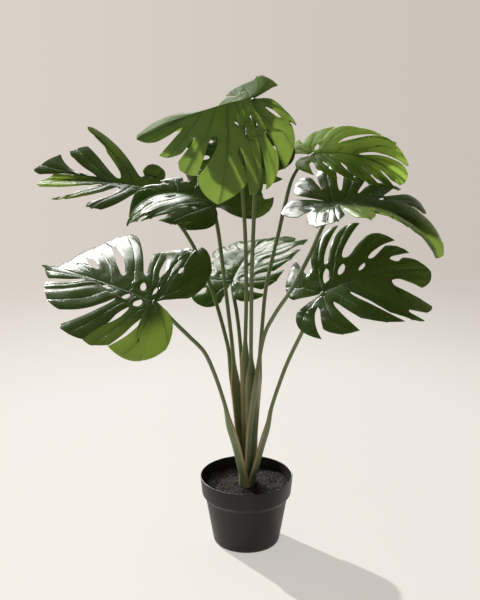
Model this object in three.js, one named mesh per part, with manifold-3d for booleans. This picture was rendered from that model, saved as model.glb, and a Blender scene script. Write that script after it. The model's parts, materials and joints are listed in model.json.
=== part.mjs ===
// A potted monstera with nine split leaves in a plain round nursery pot.
// Millimetres, +Z up. The origin is the centre of the pot's flat underside and the front faces -Y.
import * as THREE from "three";
import { mergeVertices } from "three/addons/utils/BufferGeometryUtils.js";
import Module from "manifold-3d";

const wasm = await Module();
wasm.setup();

// ---- driving dimensions ----

const GAP = 0.3; // between pieces that touch
const DEGREES = Math.PI / 180;

const POT = {
  rimRadius: 87.5,
  height: 136,
  bandFoot: 101, // height where the upright band under the rim ends
  bandFootRadius: 84,
  waistHeight: 92.5, // foot of the sloped ledge under the band
  waistRadius: 77.5,
  heelRadius: 63.5,
  heelHeight: 9,
  footRadius: 55.5, // flat underside
  footBevel: 4.5, // width of the turned-up edge around it
  footBevelHeight: 1.6,
  wall: 2.4,
  floor: 4,
  lip: 1.2, // radius of the rim's rounded edge
  segments: 56,
};

const SOIL = {
  height: 117,
  mound: 1.5, // how much higher the soil lies around the stalks
  moundFoot: 52, // radius at which it starts to rise
  moundShoulder: 31,
  holeRadius: 22,
  holeDepth: 71,
  segments: 40,
};

const BLADE = {
  thickness: 0.9,
  midribDepth: 1.3, // how far the midrib stands out under the blade at its base
  turn: 24, // degrees by which a side vein bends towards the tip
  shoulder: 0.8, // reach of a lobe's rounded near corner
  corner: 1.02, // reach of its sharp far corner
  cornerPower: 2.6, // how quickly the margin rises from one to the other
  curlPower: 1.3, // how late a side vein curls down
  flatWidth: 0.6, // width of the flat strip along the midrib, as a part of a lobe's
  steps: 12, // steps of the walk along a vein
};
// Across a lobe: its near edge, a line inside its rounded shoulder, and its far edge.
const LOBE_COLUMNS = [0, 0.4, 1];
// Along a hole, and along an open cut from its rounded inner end to the margin: place and half width.
const HOLE_ROWS = [
  { at: 0, open: 0 },
  { at: 0.25, open: 1 },
  { at: 0.75, open: 1 },
  { at: 1, open: 0 },
];
const CUT_ROWS = [
  { at: 0, open: 0 },
  { at: 0.1, open: 0.7 },
  { at: 0.35, open: 1 },
  { at: 0.7, open: 0.75 },
  { at: 1, open: 0.5 },
];
const HOLE_WIDTH = 0.13; // half width of a hole, as a part of a lobe's width
const CUT_WIDTH = 0.13;

const STALK = {
  radius: 3.6,
  sides: 8,
  rings: 18,
  fade: 30, // height over which a sheath narrows to the bare stalk
};

const COLORS = {
  pot: 0x1d1c1a,
  soil: 0x2b2926,
  blade: 0x24401c,
  stalk: 0x5f6b45,
};

// Where the veins between the lobes leave the midrib, as parts of its length, from the base on.
const SIX_LOBES = [0, 0, 0.03, 0.15, 0.31, 0.48, 0.64];
const EIGHT_LOBES = [0, 0, 0.1, 0.17, 0.23, 0.31, 0.42, 0.56, 0.7];

// Each leaf: where its stalk meets the blade, the way its midrib points (heading from +X, pitch up,
// roll about the midrib), the midrib's arch, and each half's veins. A vein has an angle from the
// midrib in degrees and a reach in mm. The first one edges the notch at the base, and "tip" is the
// midrib's own stretch past its last vein. A cut starts at the given part of the vein's reach, and a
// hole lies between two such parts. "stalk" is the stalk's centre line from the pot up, and its
// sheath has half a width, half a depth and a height.
const LEAVES = {
  leaf_top: {
    junction: [10, -30, 860],
    heading: 227,
    pitch: 3,
    roll: -46,
    length: 224,
    arch: 43,
    back: 2,
    twist: 9,
    tip: 76,
    veins: EIGHT_LOBES,
    left: {
      droop: 8,
      curl: 1,
      angles: [183, 160, 121, 96, 88, 63, 43, 26],
      reach: [69, 101, 131, 160, 163, 165, 118, 95],
      cuts: [0.82, 0.8, 0.68, 0.58, 0.3, 0.86, 0.4],
      holes: [[0.3, 0.66], [0.16, 0.62], [0.18, 0.36], [0.1, 0.24], null, null, null],
    },
    right: {
      droop: [0, 4, 36, 60, 70, 70, 66, 40],
      curl: 24,
      angles: [174, 153, 132, 112, 94, 77, 55, 48],
      reach: [72, 100, 76, 78, 100, 115, 122, 108],
      cuts: [0.6, 0.45, 0.5, 0.5, 0.45, 0.5, 0.5],
      holes: [null, null, [0.16, 0.36], [0.15, 0.3], null, null, null],
    },
    sheath: { width: 8.5, depth: 6.5, top: 350 },
    stalk: [
      [5, 2, 46],
      [7, 2, 115],
      [9, 2, 206],
      [9, 1, 288],
      [8, 0, 368],
      [8, -4, 448],
      [9, -10, 545],
      [12, -16, 639],
      [15, -22, 723],
      [14, -27, 795],
    ],
  },
  leaf_hidden: {
    junction: [-11, 28, 753],
    heading: 78,
    pitch: 44,
    roll: 14,
    length: 178,
    arch: 58,
    back: 33,
    twist: 3,
    tip: 63,
    veins: SIX_LOBES,
    left: {
      droop: -2,
      curl: 24,
      angles: [163, 118, 89, 65, 52, 39],
      reach: [56, 95, 103, 100, 97, 82],
      cuts: [0.6, 0.5, 0.45, 0.5, 0.55],
      holes: [null, [0.15, 0.32], [0.14, 0.32], [0.15, 0.32], null],
    },
    right: {
      droop: -8,
      curl: 17,
      angles: [164, 123, 85, 54, 46, 35],
      reach: [60, 91, 97, 92, 93, 81],
      cuts: [0.6, 0.5, 0.45, 0.5, 0.55],
      holes: [null, [0.15, 0.32], [0.14, 0.32], [0.15, 0.32], null],
    },
    sheath: { width: 8.5, depth: 6, top: 380 },
    stalk: [
      [-2, 4, 46],
      [-1, 5, 114],
      [-1, 7, 204],
      [-2, 8, 285],
      [-3, 10, 374],
      [-1, 14, 480],
      [-2, 18, 574],
      [-6, 23, 657],
      [-10, 27, 716],
    ],
  },
  leaf_back: {
    junction: [-28, 120, 483],
    heading: 68,
    pitch: 31,
    roll: -13,
    length: 200,
    arch: 41,
    back: 39,
    twist: -6,
    tip: 71,
    veins: SIX_LOBES,
    left: {
      droop: -7,
      curl: 23,
      angles: [170, 115, 76, 68, 58, 44],
      reach: [59, 95, 106, 123, 110, 93],
      cuts: [0.55, 0.45, 0.45, 0.5, 0.55],
      holes: [null, [0.15, 0.32], [0.14, 0.32], null, null],
    },
    right: {
      droop: -7,
      curl: 11,
      angles: [161, 122, 92, 72, 54, 26],
      reach: [53, 95, 108, 127, 133, 89],
      cuts: [0.5, 0.45, 0.4, 0.5, 0.55],
      holes: [null, [0.15, 0.32], [0.14, 0.3], [0.15, 0.32], null],
    },
    sheath: { width: 6, depth: 5, top: 260 },
    stalk: [
      [-2, 11, 46],
      [-2, 12, 110],
      [-4, 22, 187],
      [-7, 42, 271],
      [-11, 76, 359],
      [-18, 102, 421],
      [-25, 116, 460],
    ],
  },
  leaf_upper_right: {
    junction: [119, 60, 742],
    heading: -9,
    pitch: 11,
    roll: 7,
    length: 176,
    arch: 53,
    back: 15,
    twist: -10,
    tip: 67,
    veins: SIX_LOBES,
    left: {
      droop: -16,
      curl: 17,
      angles: [165, 119, 85, 61, 51, 29],
      reach: [52, 86, 102, 118, 123, 97],
      cuts: [0.6, 0.5, 0.4, 0.5, 0.55],
      holes: [null, [0.15, 0.32], null, [0.15, 0.34], null],
    },
    right: {
      droop: -6,
      curl: 19,
      angles: [156, 94, 76, 66, 54, 37],
      reach: [55, 95, 110, 111, 104, 87],
      cuts: [0.5, 0.45, 0.5, 0.5, 0.55],
      holes: [null, [0.15, 0.32], [0.15, 0.32], null, null],
    },
    sheath: { width: 8.5, depth: 6, top: 350 },
    stalk: [
      [6, 8, 46],
      [9, 8, 112],
      [14, 12, 222],
      [21, 17, 322],
      [28, 24, 418],
      [35, 31, 496],
      [46, 38, 549],
      [57, 44, 595],
      [69, 51, 649],
      [83, 56, 700],
      [101, 59, 727],
    ],
  },
  leaf_center_left: {
    junction: [-58, 55, 648],
    heading: 158,
    pitch: 27,
    roll: -12,
    length: 200,
    arch: 78,
    back: 28,
    twist: 0,
    tip: 85,
    veins: SIX_LOBES,
    left: {
      droop: -5,
      curl: 27,
      angles: [136, 96, 66, 58, 50, 39],
      reach: [46, 96, 113, 125, 123, 109],
      cuts: [0.88, 0.62, 0.5, 0.5, 0.55],
      holes: [[0.35, 0.46], [0.4, 0.5], null, [0.15, 0.3], null],
    },
    right: {
      droop: -34,
      curl: 24,
      angles: [210, 135, 105, 90, 70, 48],
      reach: [46, 112, 101, 82, 54, 44],
      cuts: [0.8, 0.45, 0.5, 0.5, 0.55],
      holes: [null, [0.15, 0.32], [0.14, 0.32], null, null],
    },
    sheath: { width: 8.5, depth: 6, top: 340 },
    stalk: [
      [-4, -3, 46],
      [-4, -3, 118],
      [-12, 4, 226],
      [-20, 11, 314],
      [-28, 21, 400],
      [-37, 32, 478],
      [-45, 42, 544],
      [-52, 50, 599],
    ],
  },
  leaf_far_left: {
    junction: [-188, 192, 648],
    heading: 184,
    pitch: 12,
    roll: -34,
    length: 216,
    arch: 26,
    back: 25,
    twist: -7,
    tip: 78,
    veins: SIX_LOBES,
    left: {
      droop: -10,
      curl: 2,
      angles: [147, 78, 52, 43, 37, 26],
      reach: [36, 48, 140, 152, 134, 108],
      cuts: [0.5, 0.4, 0.4, 0.45, 0.5],
      holes: [null, [0.15, 0.28], null, [0.15, 0.3], null],
    },
    right: {
      droop: -4,
      curl: 2,
      angles: [148, 83, 63, 41, 27, 19],
      reach: [44, 100, 171, 158, 159, 114],
      cuts: [0.45, 0.34, 0.3, 0.36, 0.5],
      holes: [null, [0.12, 0.24], [0.12, 0.22], null, null],
    },
    sheath: { width: 8.5, depth: 6, top: 350 },
    stalk: [
      [-6, 6, 46],
      [-6, 6, 113],
      [-14, 16, 220],
      [-23, 33, 304],
      [-33, 50, 366],
      [-58, 85, 453],
      [-75, 108, 496],
      [-94, 130, 535],
      [-113, 154, 563],
      [-135, 170, 590],
      [-163, 184, 618],
    ],
  },
  leaf_middle_right: {
    junction: [149, -55, 682],
    heading: -9,
    pitch: 9,
    roll: 7,
    length: 194,
    arch: 65,
    back: 2,
    twist: 10,
    tip: 85,
    veins: SIX_LOBES,
    left: {
      droop: -19,
      curl: 23,
      angles: [176, 122, 102, 86, 50, 26],
      reach: [71, 116, 136, 126, 124, 110],
      cuts: [0.5, 0.5, 0.4, 0.5, 0.55],
      holes: [null, null, [0.15, 0.3], [0.2, 0.38], null],
    },
    right: {
      droop: -11,
      curl: 10,
      angles: [178, 126, 104, 88, 68, 44],
      reach: [73, 106, 123, 113, 108, 110],
      cuts: [0.5, 0.5, 0.45, 0.5, 0.5],
      holes: [null, [0.15, 0.32], null, [0.15, 0.3], null],
    },
    sheath: { width: 10, depth: 6, top: 350 },
    stalk: [
      [0, -8, 46],
      [1, -8, 120],
      [3, -10, 212],
      [10, -12, 283],
      [21, -15, 364],
      [33, -21, 428],
      [51, -36, 471],
      [77, -58, 521],
      [102, -66, 573],
      [116, -66, 605],
      [128, -64, 633],
      [140, -60, 658],
    ],
  },
  leaf_lower_left: {
    junction: [-161, -125, 524],
    heading: 149,
    pitch: 11,
    roll: -40,
    length: 238,
    arch: 16,
    back: 12,
    twist: -8,
    tip: 93,
    veins: SIX_LOBES,
    left: {
      droop: -4,
      curl: 15,
      angles: [170, 123, 89, 74, 65, 39],
      reach: [64, 113, 124, 134, 124, 113],
      cuts: [0.88, 0.5, 0.42, 0.4, 0.35],
      holes: [null, [0.22, 0.42], [0.12, 0.28], [0.1, 0.26], null],
    },
    right: {
      droop: -3,
      curl: 27,
      angles: [151, 106, 86, 74, 63, 37],
      reach: [76, 138, 121, 127, 141, 119],
      cuts: [0.88, 0.42, 0.36, 0.45, 0.6],
      holes: [[0.5, 0.64], [0.12, 0.24], null, [0.14, 0.24], [0.3, 0.42]],
    },
    sheath: { width: 12, depth: 7, top: 262 },
    stalk: [
      [-2, -9, 46],
      [-3, -10, 123],
      [-10, -13, 163],
      [-20, -16, 208],
      [-31, -18, 248],
      [-41, -22, 290],
      [-58, -36, 352],
      [-77, -54, 404],
      [-101, -72, 438],
      [-128, -94, 475],
      [-150, -115, 508],
    ],
  },
  leaf_lower_right: {
    junction: [132, -75, 523],
    heading: 0,
    pitch: 28,
    roll: 29,
    length: 190,
    arch: 40,
    back: 9,
    twist: -12,
    tip: 81,
    veins: SIX_LOBES,
    left: {
      droop: -12,
      curl: 19,
      angles: [170, 102, 76, 62, 47, 29],
      reach: [66, 112, 140, 142, 117, 90],
      cuts: [0.45, 0.42, 0.5, 0.52, 0.6],
      holes: [null, [0.16, 0.34], [0.18, 0.36], [0.2, 0.4], null],
    },
    right: {
      droop: -3,
      curl: 15,
      angles: [171, 116, 79, 63, 60, 45],
      reach: [71, 99, 113, 135, 141, 115],
      cuts: [0.35, 0.34, 0.3, 0.66, 0.34],
      holes: [null, null, null, [0.12, 0.24], null],
    },
    sheath: { width: 11, depth: 7, top: 256 },
    stalk: [
      [5, -8, 46],
      [7, -9, 122],
      [17, -12, 162],
      [27, -15, 204],
      [38, -16, 245],
      [46, -19, 282],
      [59, -26, 329],
      [74, -38, 378],
      [94, -55, 432],
      [112, -68, 477],
      [123, -76, 508],
    ],
  },
};

// ---- meshes and solids ----

function solidOf(geometry) {
  const plain = geometry.clone();
  plain.deleteAttribute("normal");
  plain.deleteAttribute("uv");
  const merged = mergeVertices(plain, 1e-3);
  return new wasm.Manifold(
    new wasm.Mesh({
      numProp: 3,
      vertProperties: merged.attributes.position.array,
      triVerts: new Uint32Array(merged.index.array),
    }),
  );
}

function geometryOf(solid) {
  const mesh = solid.getMesh();
  const geometry = new THREE.BufferGeometry();
  geometry.setAttribute("position", new THREE.BufferAttribute(mesh.vertProperties, 3));
  geometry.setIndex(new THREE.BufferAttribute(mesh.triVerts, 1));
  geometry.computeVertexNormals();
  return geometry;
}

function largestPiece(solid) {
  return solid.decompose().reduce((most, piece) => (piece.volume() > most.volume() ? piece : most));
}

function named(name, geometry, color, roughness) {
  const material = new THREE.MeshStandardMaterial({ color, roughness, metalness: 0 });
  const mesh = new THREE.Mesh(geometry, material);
  mesh.name = name;
  return mesh;
}

// ---- pot and soil ----

function turned(profile, segments) {
  const points = profile.map(([radius, height]) => new THREE.Vector2(radius, height));
  return new THREE.LatheGeometry(points, segments).rotateX(Math.PI / 2);
}

// Outer radius of the pot's body at a height under the band.
function bodyRadius(height) {
  const share = (height - POT.heelHeight) / (POT.waistHeight - POT.heelHeight);
  return POT.heelRadius + share * (POT.waistRadius - POT.heelRadius);
}

function potGeometry() {
  const { lip, wall } = POT;
  const lipCorner = lip * (1 - Math.SQRT1_2);
  return turned(
    [
      [0, 0],
      [POT.footRadius, 0],
      [POT.footRadius + POT.footBevel, POT.footBevelHeight],
      [POT.heelRadius - lip, POT.heelHeight / 2],
      [POT.heelRadius, POT.heelHeight],
      [POT.waistRadius, POT.waistHeight],
      [POT.bandFootRadius, POT.bandFoot],
      [POT.rimRadius, POT.height - lip],
      [POT.rimRadius - lipCorner, POT.height - lipCorner],
      [POT.rimRadius - lip, POT.height],
      [POT.rimRadius - wall, POT.height - lip],
      [POT.bandFootRadius - wall, POT.bandFoot],
      [POT.waistRadius - wall, POT.waistHeight],
      [POT.heelRadius - wall, POT.heelHeight],
      [POT.footRadius, POT.floor],
      [0, POT.floor],
    ],
    POT.segments,
  );
}

function soilGeometry() {
  const clear = POT.wall + 2 * GAP;
  const base = POT.floor + GAP;
  const share = (SOIL.height - POT.bandFoot) / (POT.height - POT.bandFoot);
  const bandRadius = POT.bandFootRadius + share * (POT.rimRadius - POT.bandFootRadius);
  const holeFloor = SOIL.height - SOIL.holeDepth;
  return turned(
    [
      [0, base],
      [POT.footRadius - clear, base],
      [bodyRadius(POT.heelHeight) - clear, POT.heelHeight + GAP],
      [POT.waistRadius - clear, POT.waistHeight],
      [POT.bandFootRadius - clear, POT.bandFoot],
      [bandRadius - clear, SOIL.height - 1],
      [SOIL.moundFoot, SOIL.height],
      [SOIL.moundShoulder, SOIL.height + 0.7 * SOIL.mound],
      [SOIL.holeRadius, SOIL.height + SOIL.mound],
      [SOIL.holeRadius, holeFloor],
      [0, holeFloor],
    ],
    SOIL.segments,
  );
}

// ---- leaf blades ----

// A smooth curve through evenly spaced values, read at a fractional place.
function smooth(values, place) {
  const last = values.length - 1;
  const at = Math.min(Math.floor(place), last - 1);
  const f = place - at;
  const [a, b] = [values[Math.max(at - 1, 0)], values[at]];
  const [c, d] = [values[at + 1], values[Math.min(at + 2, last)]];
  const linear = f * (c - a);
  const square = f * f * (2 * a - 5 * b + 4 * c - d);
  const cube = f * f * f * (3 * b - a - 3 * c + d);
  return b + 0.5 * (linear + square + cube);
}

// A half's droop is one angle for all its veins, or a list with one for each.
function droopAt(half, vein) {
  return Array.isArray(half.droop) ? smooth([...half.droop, 0], vein) : half.droop;
}

function easedShare(value) {
  const share = THREE.MathUtils.clamp(value, 0, 1);
  return share * share * (3 - 2 * share);
}

// A point of the blade in the leaf's own frame: x across, y along the midrib, z up from the blade.
// "vein" counts from 0 at the notch to the number of lobes at the midrib, "reach" runs from the
// midrib (0) to the margin (1), and side is +1 for the right half and -1 for the left.
function bladePoint(leaf, side, vein, reach) {
  const half = side > 0 ? leaf.right : leaf.left;
  const lobes = half.angles.length;
  const fromMidrib = lobes - vein;
  const bend = easedShare(fromMidrib / BLADE.flatWidth);
  const startAngle = smooth([...half.angles, 0], vein) * DEGREES;
  const veinLength = smooth([...half.reach, leaf.tip], vein);
  const turnShare = Math.min(fromMidrib / 1.2, 1) * Math.min(vein + 0.4, 1); // less at both edges
  const turn = BLADE.turn * DEGREES * turnShare;
  const droop = droopAt(half, vein);
  const step = (veinLength * reach) / BLADE.steps;
  let x = 0;
  let y = Math.max(0, smooth(leaf.veins, vein)) * leaf.length;
  let z = 0;
  for (let i = 0; i < BLADE.steps; i++) {
    const walked = ((i + 0.5) / BLADE.steps) * reach;
    const fall = bend * DEGREES * (droop + half.curl * walked ** BLADE.curlPower);
    const angle = startAngle - turn * walked;
    x += Math.sin(angle) * Math.cos(fall) * step;
    y += Math.cos(angle) * Math.cos(fall) * step;
    z -= Math.sin(fall) * step;
  }
  return archedPoint(leaf, side * x, y, z);
}

// Bends the flat blade's midrib into its arch, in front of the stalk and behind it, and twists it.
function archedPoint(leaf, x, y, z) {
  const backLength = 0.4 * leaf.length;
  const curvature = (y > 0 ? leaf.arch / leaf.length : leaf.back / backLength) * DEGREES + 1e-7;
  const turned = curvature * Math.abs(y);
  const along = Math.sign(y) * Math.sin(turned);
  const archedY = along / curvature + along * z;
  const archedZ = -(1 - Math.cos(turned)) / curvature + Math.cos(turned) * z;
  const twist = (leaf.twist * DEGREES * y) / leaf.length;
  return new THREE.Vector3(x * Math.cos(twist), archedY, archedZ + x * Math.sin(twist));
}

// The rows of points along one vein, each with its reach and how far the blade opens there.
function rowsAlong(half, vein) {
  const between = vein > 0 && vein < half.angles.length;
  const cut = between ? half.cuts[vein - 1] : 0.5;
  const hole = between ? half.holes[vein - 1] : null;
  const [holeStart, holeEnd] = hole ?? [0.3 * cut, 0.7 * cut];
  const rows = [{ reach: 0, open: 0, outer: 0 }];
  for (const { at, open } of HOLE_ROWS) {
    const reach = holeStart + at * (holeEnd - holeStart);
    rows.push({ reach, open: hole ? open * HOLE_WIDTH : 0, outer: 0 });
  }
  for (const { at, open } of CUT_ROWS)
    rows.push({ reach: cut, open: between ? open * CUT_WIDTH : 0, outer: at });
  return rows;
}

// How far out the margin lies across a lobe: a rounded shoulder, then a sharp corner.
function marginReach(across) {
  return BLADE.shoulder + (BLADE.corner - BLADE.shoulder) * (1 - (1 - across) ** BLADE.cornerPower);
}

// One line of points down a lobe, at "across" between its near edge (0) and its far edge (1).
function lobeLine(leaf, side, lobe, across) {
  const half = side > 0 ? leaf.right : leaf.left;
  const near = rowsAlong(half, lobe);
  const far = rowsAlong(half, lobe + 1);
  return near.map((row, i) => {
    const start = THREE.MathUtils.lerp(row.reach, far[i].reach, across);
    const reach = start + row.outer * (marginReach(across) - start);
    const vein = lobe + row.open + across * (1 - row.open - far[i].open);
    return bladePoint(leaf, side, vein, reach);
  });
}

// The blade's middle surface: points and triangles, with shared points joined.
function bladeSheet(leaf) {
  const points = [];
  const triangles = [];
  const found = new Map();
  const indexOf = (point) => {
    const key = point.toArray().map((value) => Math.round(value * 500)).join();
    if (!found.has(key)) found.set(key, points.push(point) - 1);
    return found.get(key);
  };
  const addTriangle = (a, b, c) => {
    if (a !== b && b !== c && c !== a) triangles.push([a, b, c]);
  };
  for (const side of [1, -1]) {
    for (let lobe = 0; lobe < leaf.veins.length - 1; lobe++) {
      const lines = LOBE_COLUMNS.map((across) => lobeLine(leaf, side, lobe, across).map(indexOf));
      if (side < 0) lines.reverse();
      for (let column = 1; column < lines.length; column++) {
        const [near, far] = [lines[column - 1], lines[column]];
        for (let row = 1; row < near.length; row++) {
          addTriangle(near[row - 1], near[row], far[row]);
          addTriangle(near[row - 1], far[row], far[row - 1]);
        }
      }
    }
  }
  return { points, triangles };
}

function sheetNormals({ points, triangles }) {
  const normals = points.map(() => new THREE.Vector3());
  for (const [a, b, c] of triangles) {
    const u = points[b].clone().sub(points[a]);
    const v = points[c].clone().sub(points[a]);
    const cross = u.cross(v);
    for (const corner of [a, b, c]) normals[corner].add(cross);
  }
  return normals.map((normal) => normal.normalize());
}

// Edges that have a triangle on one side only, in the order of that triangle.
function borderEdges(triangles) {
  const edges = new Map();
  for (const [a, b, c] of triangles) {
    for (const [from, to] of [[a, b], [b, c], [c, a]]) {
      if (!edges.delete(to + "," + from)) edges.set(from + "," + to, [from, to]);
    }
  }
  return [...edges.values()];
}

// The blade as a closed body, "extra" thicker on each face.
function bladeGeometry(leaf, extra = 0) {
  const sheet = bladeSheet(leaf);
  const normals = sheetNormals(sheet);
  const count = sheet.points.length;
  const halfThickness = BLADE.thickness / 2 + extra;
  const positions = [];
  for (const [i, point] of sheet.points.entries())
    positions.push(...point.clone().addScaledVector(normals[i], halfThickness).toArray());
  for (const [i, point] of sheet.points.entries()) {
    const onMidrib = Math.abs(point.x) < 0.01;
    const rib = onMidrib ? BLADE.midribDepth * Math.max(0, 1 - point.y / leaf.length) : 0;
    positions.push(...point.clone().addScaledVector(normals[i], -halfThickness - rib).toArray());
  }
  const index = [];
  for (const [a, b, c] of sheet.triangles) {
    index.push(a, b, c);
    index.push(a + count, c + count, b + count);
  }
  for (const [a, b] of borderEdges(sheet.triangles)) {
    index.push(b, a, a + count);
    index.push(b, a + count, b + count);
  }
  const geometry = new THREE.BufferGeometry();
  geometry.setAttribute("position", new THREE.Float32BufferAttribute(positions, 3));
  geometry.setIndex(index);
  geometry.computeVertexNormals();
  return geometry;
}

// The leaf's own frame: x to the right of the midrib, y along it, z out of the blade's upper face.
function leafMatrix(leaf) {
  const heading = leaf.heading * DEGREES;
  const pitch = leaf.pitch * DEGREES;
  const roll = leaf.roll * DEGREES;
  const level = Math.cos(pitch);
  const along = new THREE.Vector3(Math.cos(heading) * level, Math.sin(heading) * level, Math.sin(pitch));
  const right = new THREE.Vector3(Math.sin(heading), -Math.cos(heading), 0);
  right.applyAxisAngle(along, roll);
  const up = new THREE.Vector3().crossVectors(right, along);
  return new THREE.Matrix4().makeBasis(right, along, up).setPosition(...leaf.junction);
}

// ---- stalks ----

// The stalk's centre line ends just under the base of its blade.
function stalkCurve(leaf, extra) {
  const end = new THREE.Vector3(0, 3, -1.8).applyMatrix4(leafMatrix(leaf));
  const points = leaf.stalk.map((point) => new THREE.Vector3(...point));
  points[0].z = SOIL.height - SOIL.holeDepth + GAP - 3 * extra;
  return new THREE.CatmullRomCurve3([...points, end], false, "centripetal");
}

// A closed tube bent along the stalk, wide where it is a sheath and round above it.
function stalkGeometry(leaf, extra = 0) {
  const curve = stalkCurve(leaf, extra);
  const tube = new THREE.CylinderGeometry(1, 1, 1, STALK.sides, STALK.rings);
  tube.deleteAttribute("normal");
  tube.deleteAttribute("uv");
  const merged = mergeVertices(tube, 1e-4);
  const position = merged.attributes.position;
  const outward = new THREE.Vector3(leaf.junction[0], leaf.junction[1], 0).normalize();
  for (let i = 0; i < position.count; i++) {
    const along = THREE.MathUtils.clamp(position.getY(i) + 0.5, 0, 1);
    const center = curve.getPointAt(along);
    const tangent = curve.getTangentAt(along);
    const across = new THREE.Vector3().crossVectors(outward, tangent).normalize();
    const radial = new THREE.Vector3().crossVectors(across, tangent);
    const bare = easedShare((center.z - leaf.sheath.top + STALK.fade) / (2 * STALK.fade));
    const width = THREE.MathUtils.lerp(leaf.sheath.width, STALK.radius, bare) + extra;
    const depth = THREE.MathUtils.lerp(leaf.sheath.depth, STALK.radius, bare) + extra;
    center.addScaledVector(across, position.getX(i) * width);
    center.addScaledVector(radial, position.getZ(i) * depth);
    position.setXYZ(i, center.x, center.y, center.z);
  }
  return merged;
}

// A short step back from the blade's base, by which its cutter also clears the edge of the notch.
function notchStep(leaf) {
  const along = new THREE.Vector3().setFromMatrixColumn(leafMatrix(leaf), 1);
  return along.multiplyScalar(-2 * GAP).toArray();
}

// The stalks nest: each is hollowed by the ones set before it, which its sheath wraps, and its head
// is shaped to the underside of its own blade.
function stalkSolids() {
  const placed = [];
  const solids = new Map();
  for (const [name, leaf] of Object.entries(LEAVES)) {
    const blade = bladeGeometry(leaf, GAP).applyMatrix4(leafMatrix(leaf));
    const notch = blade.clone().translate(...notchStep(leaf));
    let solid = solidOf(stalkGeometry(leaf)).subtract(solidOf(blade)).subtract(solidOf(notch));
    for (const earlier of placed) solid = solid.subtract(earlier);
    solids.set(name, largestPiece(solid));
    placed.push(solidOf(stalkGeometry(leaf, GAP)));
  }
  return solids;
}

// ---- the plant ----

const plant = new THREE.Group();
plant.add(named("pot", potGeometry(), COLORS.pot, 0.5));
plant.add(named("soil", soilGeometry(), COLORS.soil, 0.95));
const stalks = stalkSolids();
for (const [name, leaf] of Object.entries(LEAVES)) {
  const blade = named(name + "_blade", bladeGeometry(leaf), COLORS.blade, 0.35);
  blade.applyMatrix4(leafMatrix(leaf));
  plant.add(blade);
  plant.add(named(name + "_stalk", geometryOf(stalks.get(name)), COLORS.stalk, 0.55));
}

export default plant;
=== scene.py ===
import json
import math
import random
from collections import namedtuple

import bpy
from mathutils import Matrix, Vector, noise

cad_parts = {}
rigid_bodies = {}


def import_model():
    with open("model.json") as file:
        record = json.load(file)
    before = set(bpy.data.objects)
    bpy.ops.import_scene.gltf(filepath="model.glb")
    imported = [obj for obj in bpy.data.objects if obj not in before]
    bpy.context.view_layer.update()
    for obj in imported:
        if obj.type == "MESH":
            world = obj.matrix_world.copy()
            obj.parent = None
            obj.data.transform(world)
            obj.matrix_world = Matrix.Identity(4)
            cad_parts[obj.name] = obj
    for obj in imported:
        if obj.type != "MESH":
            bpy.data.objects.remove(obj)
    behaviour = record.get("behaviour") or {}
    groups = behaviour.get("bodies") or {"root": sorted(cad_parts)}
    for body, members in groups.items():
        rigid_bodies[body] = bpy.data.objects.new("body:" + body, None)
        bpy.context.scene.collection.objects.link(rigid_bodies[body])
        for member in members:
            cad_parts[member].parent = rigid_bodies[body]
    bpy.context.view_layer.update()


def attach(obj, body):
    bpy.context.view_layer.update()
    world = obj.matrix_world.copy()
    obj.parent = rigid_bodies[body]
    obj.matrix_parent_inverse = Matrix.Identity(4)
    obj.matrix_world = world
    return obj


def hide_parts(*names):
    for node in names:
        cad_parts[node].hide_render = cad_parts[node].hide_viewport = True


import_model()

# A potted split-leaf plant. Every length is in millimetres until a mesh gets its coordinates.
MM = 0.001

# ---- pot and soil: radii and heights ----

POT_RIM_RADIUS = 87.5
POT_HEIGHT = 136
POT_BAND_FOOT = (84, 101)  # where the upright band under the rim ends
POT_WAIST = (77.5, 92.5)
POT_HEEL = (63.5, 9)
POT_FOOT_RADIUS = 55.5
POT_WALL = 2.4
POT_FLOOR = 4
POLE_RADIUS = 2  # of the small disc that closes a turned shape
POT_SEGMENTS = 144
POT_EDGE_RADIUS = 0.8
SOIL_HEIGHT = 117
SOIL_MOUND = 1.5
SOIL_SEGMENTS = 224
SOIL_RINGS = 64
SOIL_RIPPLES = ((1.4, 19, 3), (0.9, 5.2, 9), (0.7, 2.4, 5))  # height, size, slice of the noise
CRUMBS = 420

# ---- blades ----

WALK_STEPS = 12  # from the midrib to the margin, over which a blade bends
HOLE_STEPS = 8
CUT_STEPS = 12
LOBE_COLUMNS = (
    0, 0.03, 0.08, 0.16, 0.26, 0.36, 0.44, 0.48, 0.5,
    0.52, 0.56, 0.64, 0.74, 0.84, 0.92, 0.97, 1,
)
BLADE_TURN = 24  # degrees by which a side vein bends towards the tip
TURN_START = 1.2  # slits from the midrib where that bend is full
NOTCH_TURN = 0.4  # share of it that the edge of the notch has
DROOP_START = 0.6  # slits from the midrib where the droop is full
CURL_POWER = 1.3
BACK_LENGTH = 0.4  # of a blade behind its stalk, as a part of the midrib's length
LOBE_SHOULDER = 0.8  # reach of a plain lobe's rounded near corner
LOBE_CORNER = 1.02  # reach of its pointed far corner
TIP_POINT = 0.25  # how pointed the tip of any other lobe is
FIRST_ROW = 2.2  # distance from the midrib
CUT_ROUND = 0.25  # share of a cut over which its inner end is rounded
PLAIN_CUT = (0.11, 0.07, 0, 0)  # inner and outer half width, move and lean
PLAIN_HOLE = (0.12, 0)  # half width and move
CUT_WIDTH_RANGE = (0.85, 1.15)  # by which the two sides of a cut differ
LOBE_TILT = 0.06
PANEL_RISE = 0.015  # of the panel between two veins, as a part of its width
PANEL_START = 22  # distance from the midrib where it bulges in full
OPEN_WIDTH = 0.06  # half width of a slit from which on the panel falls back to its edge
NO_EDGE = 60  # stands for the distance to an edge that is closed

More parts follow.
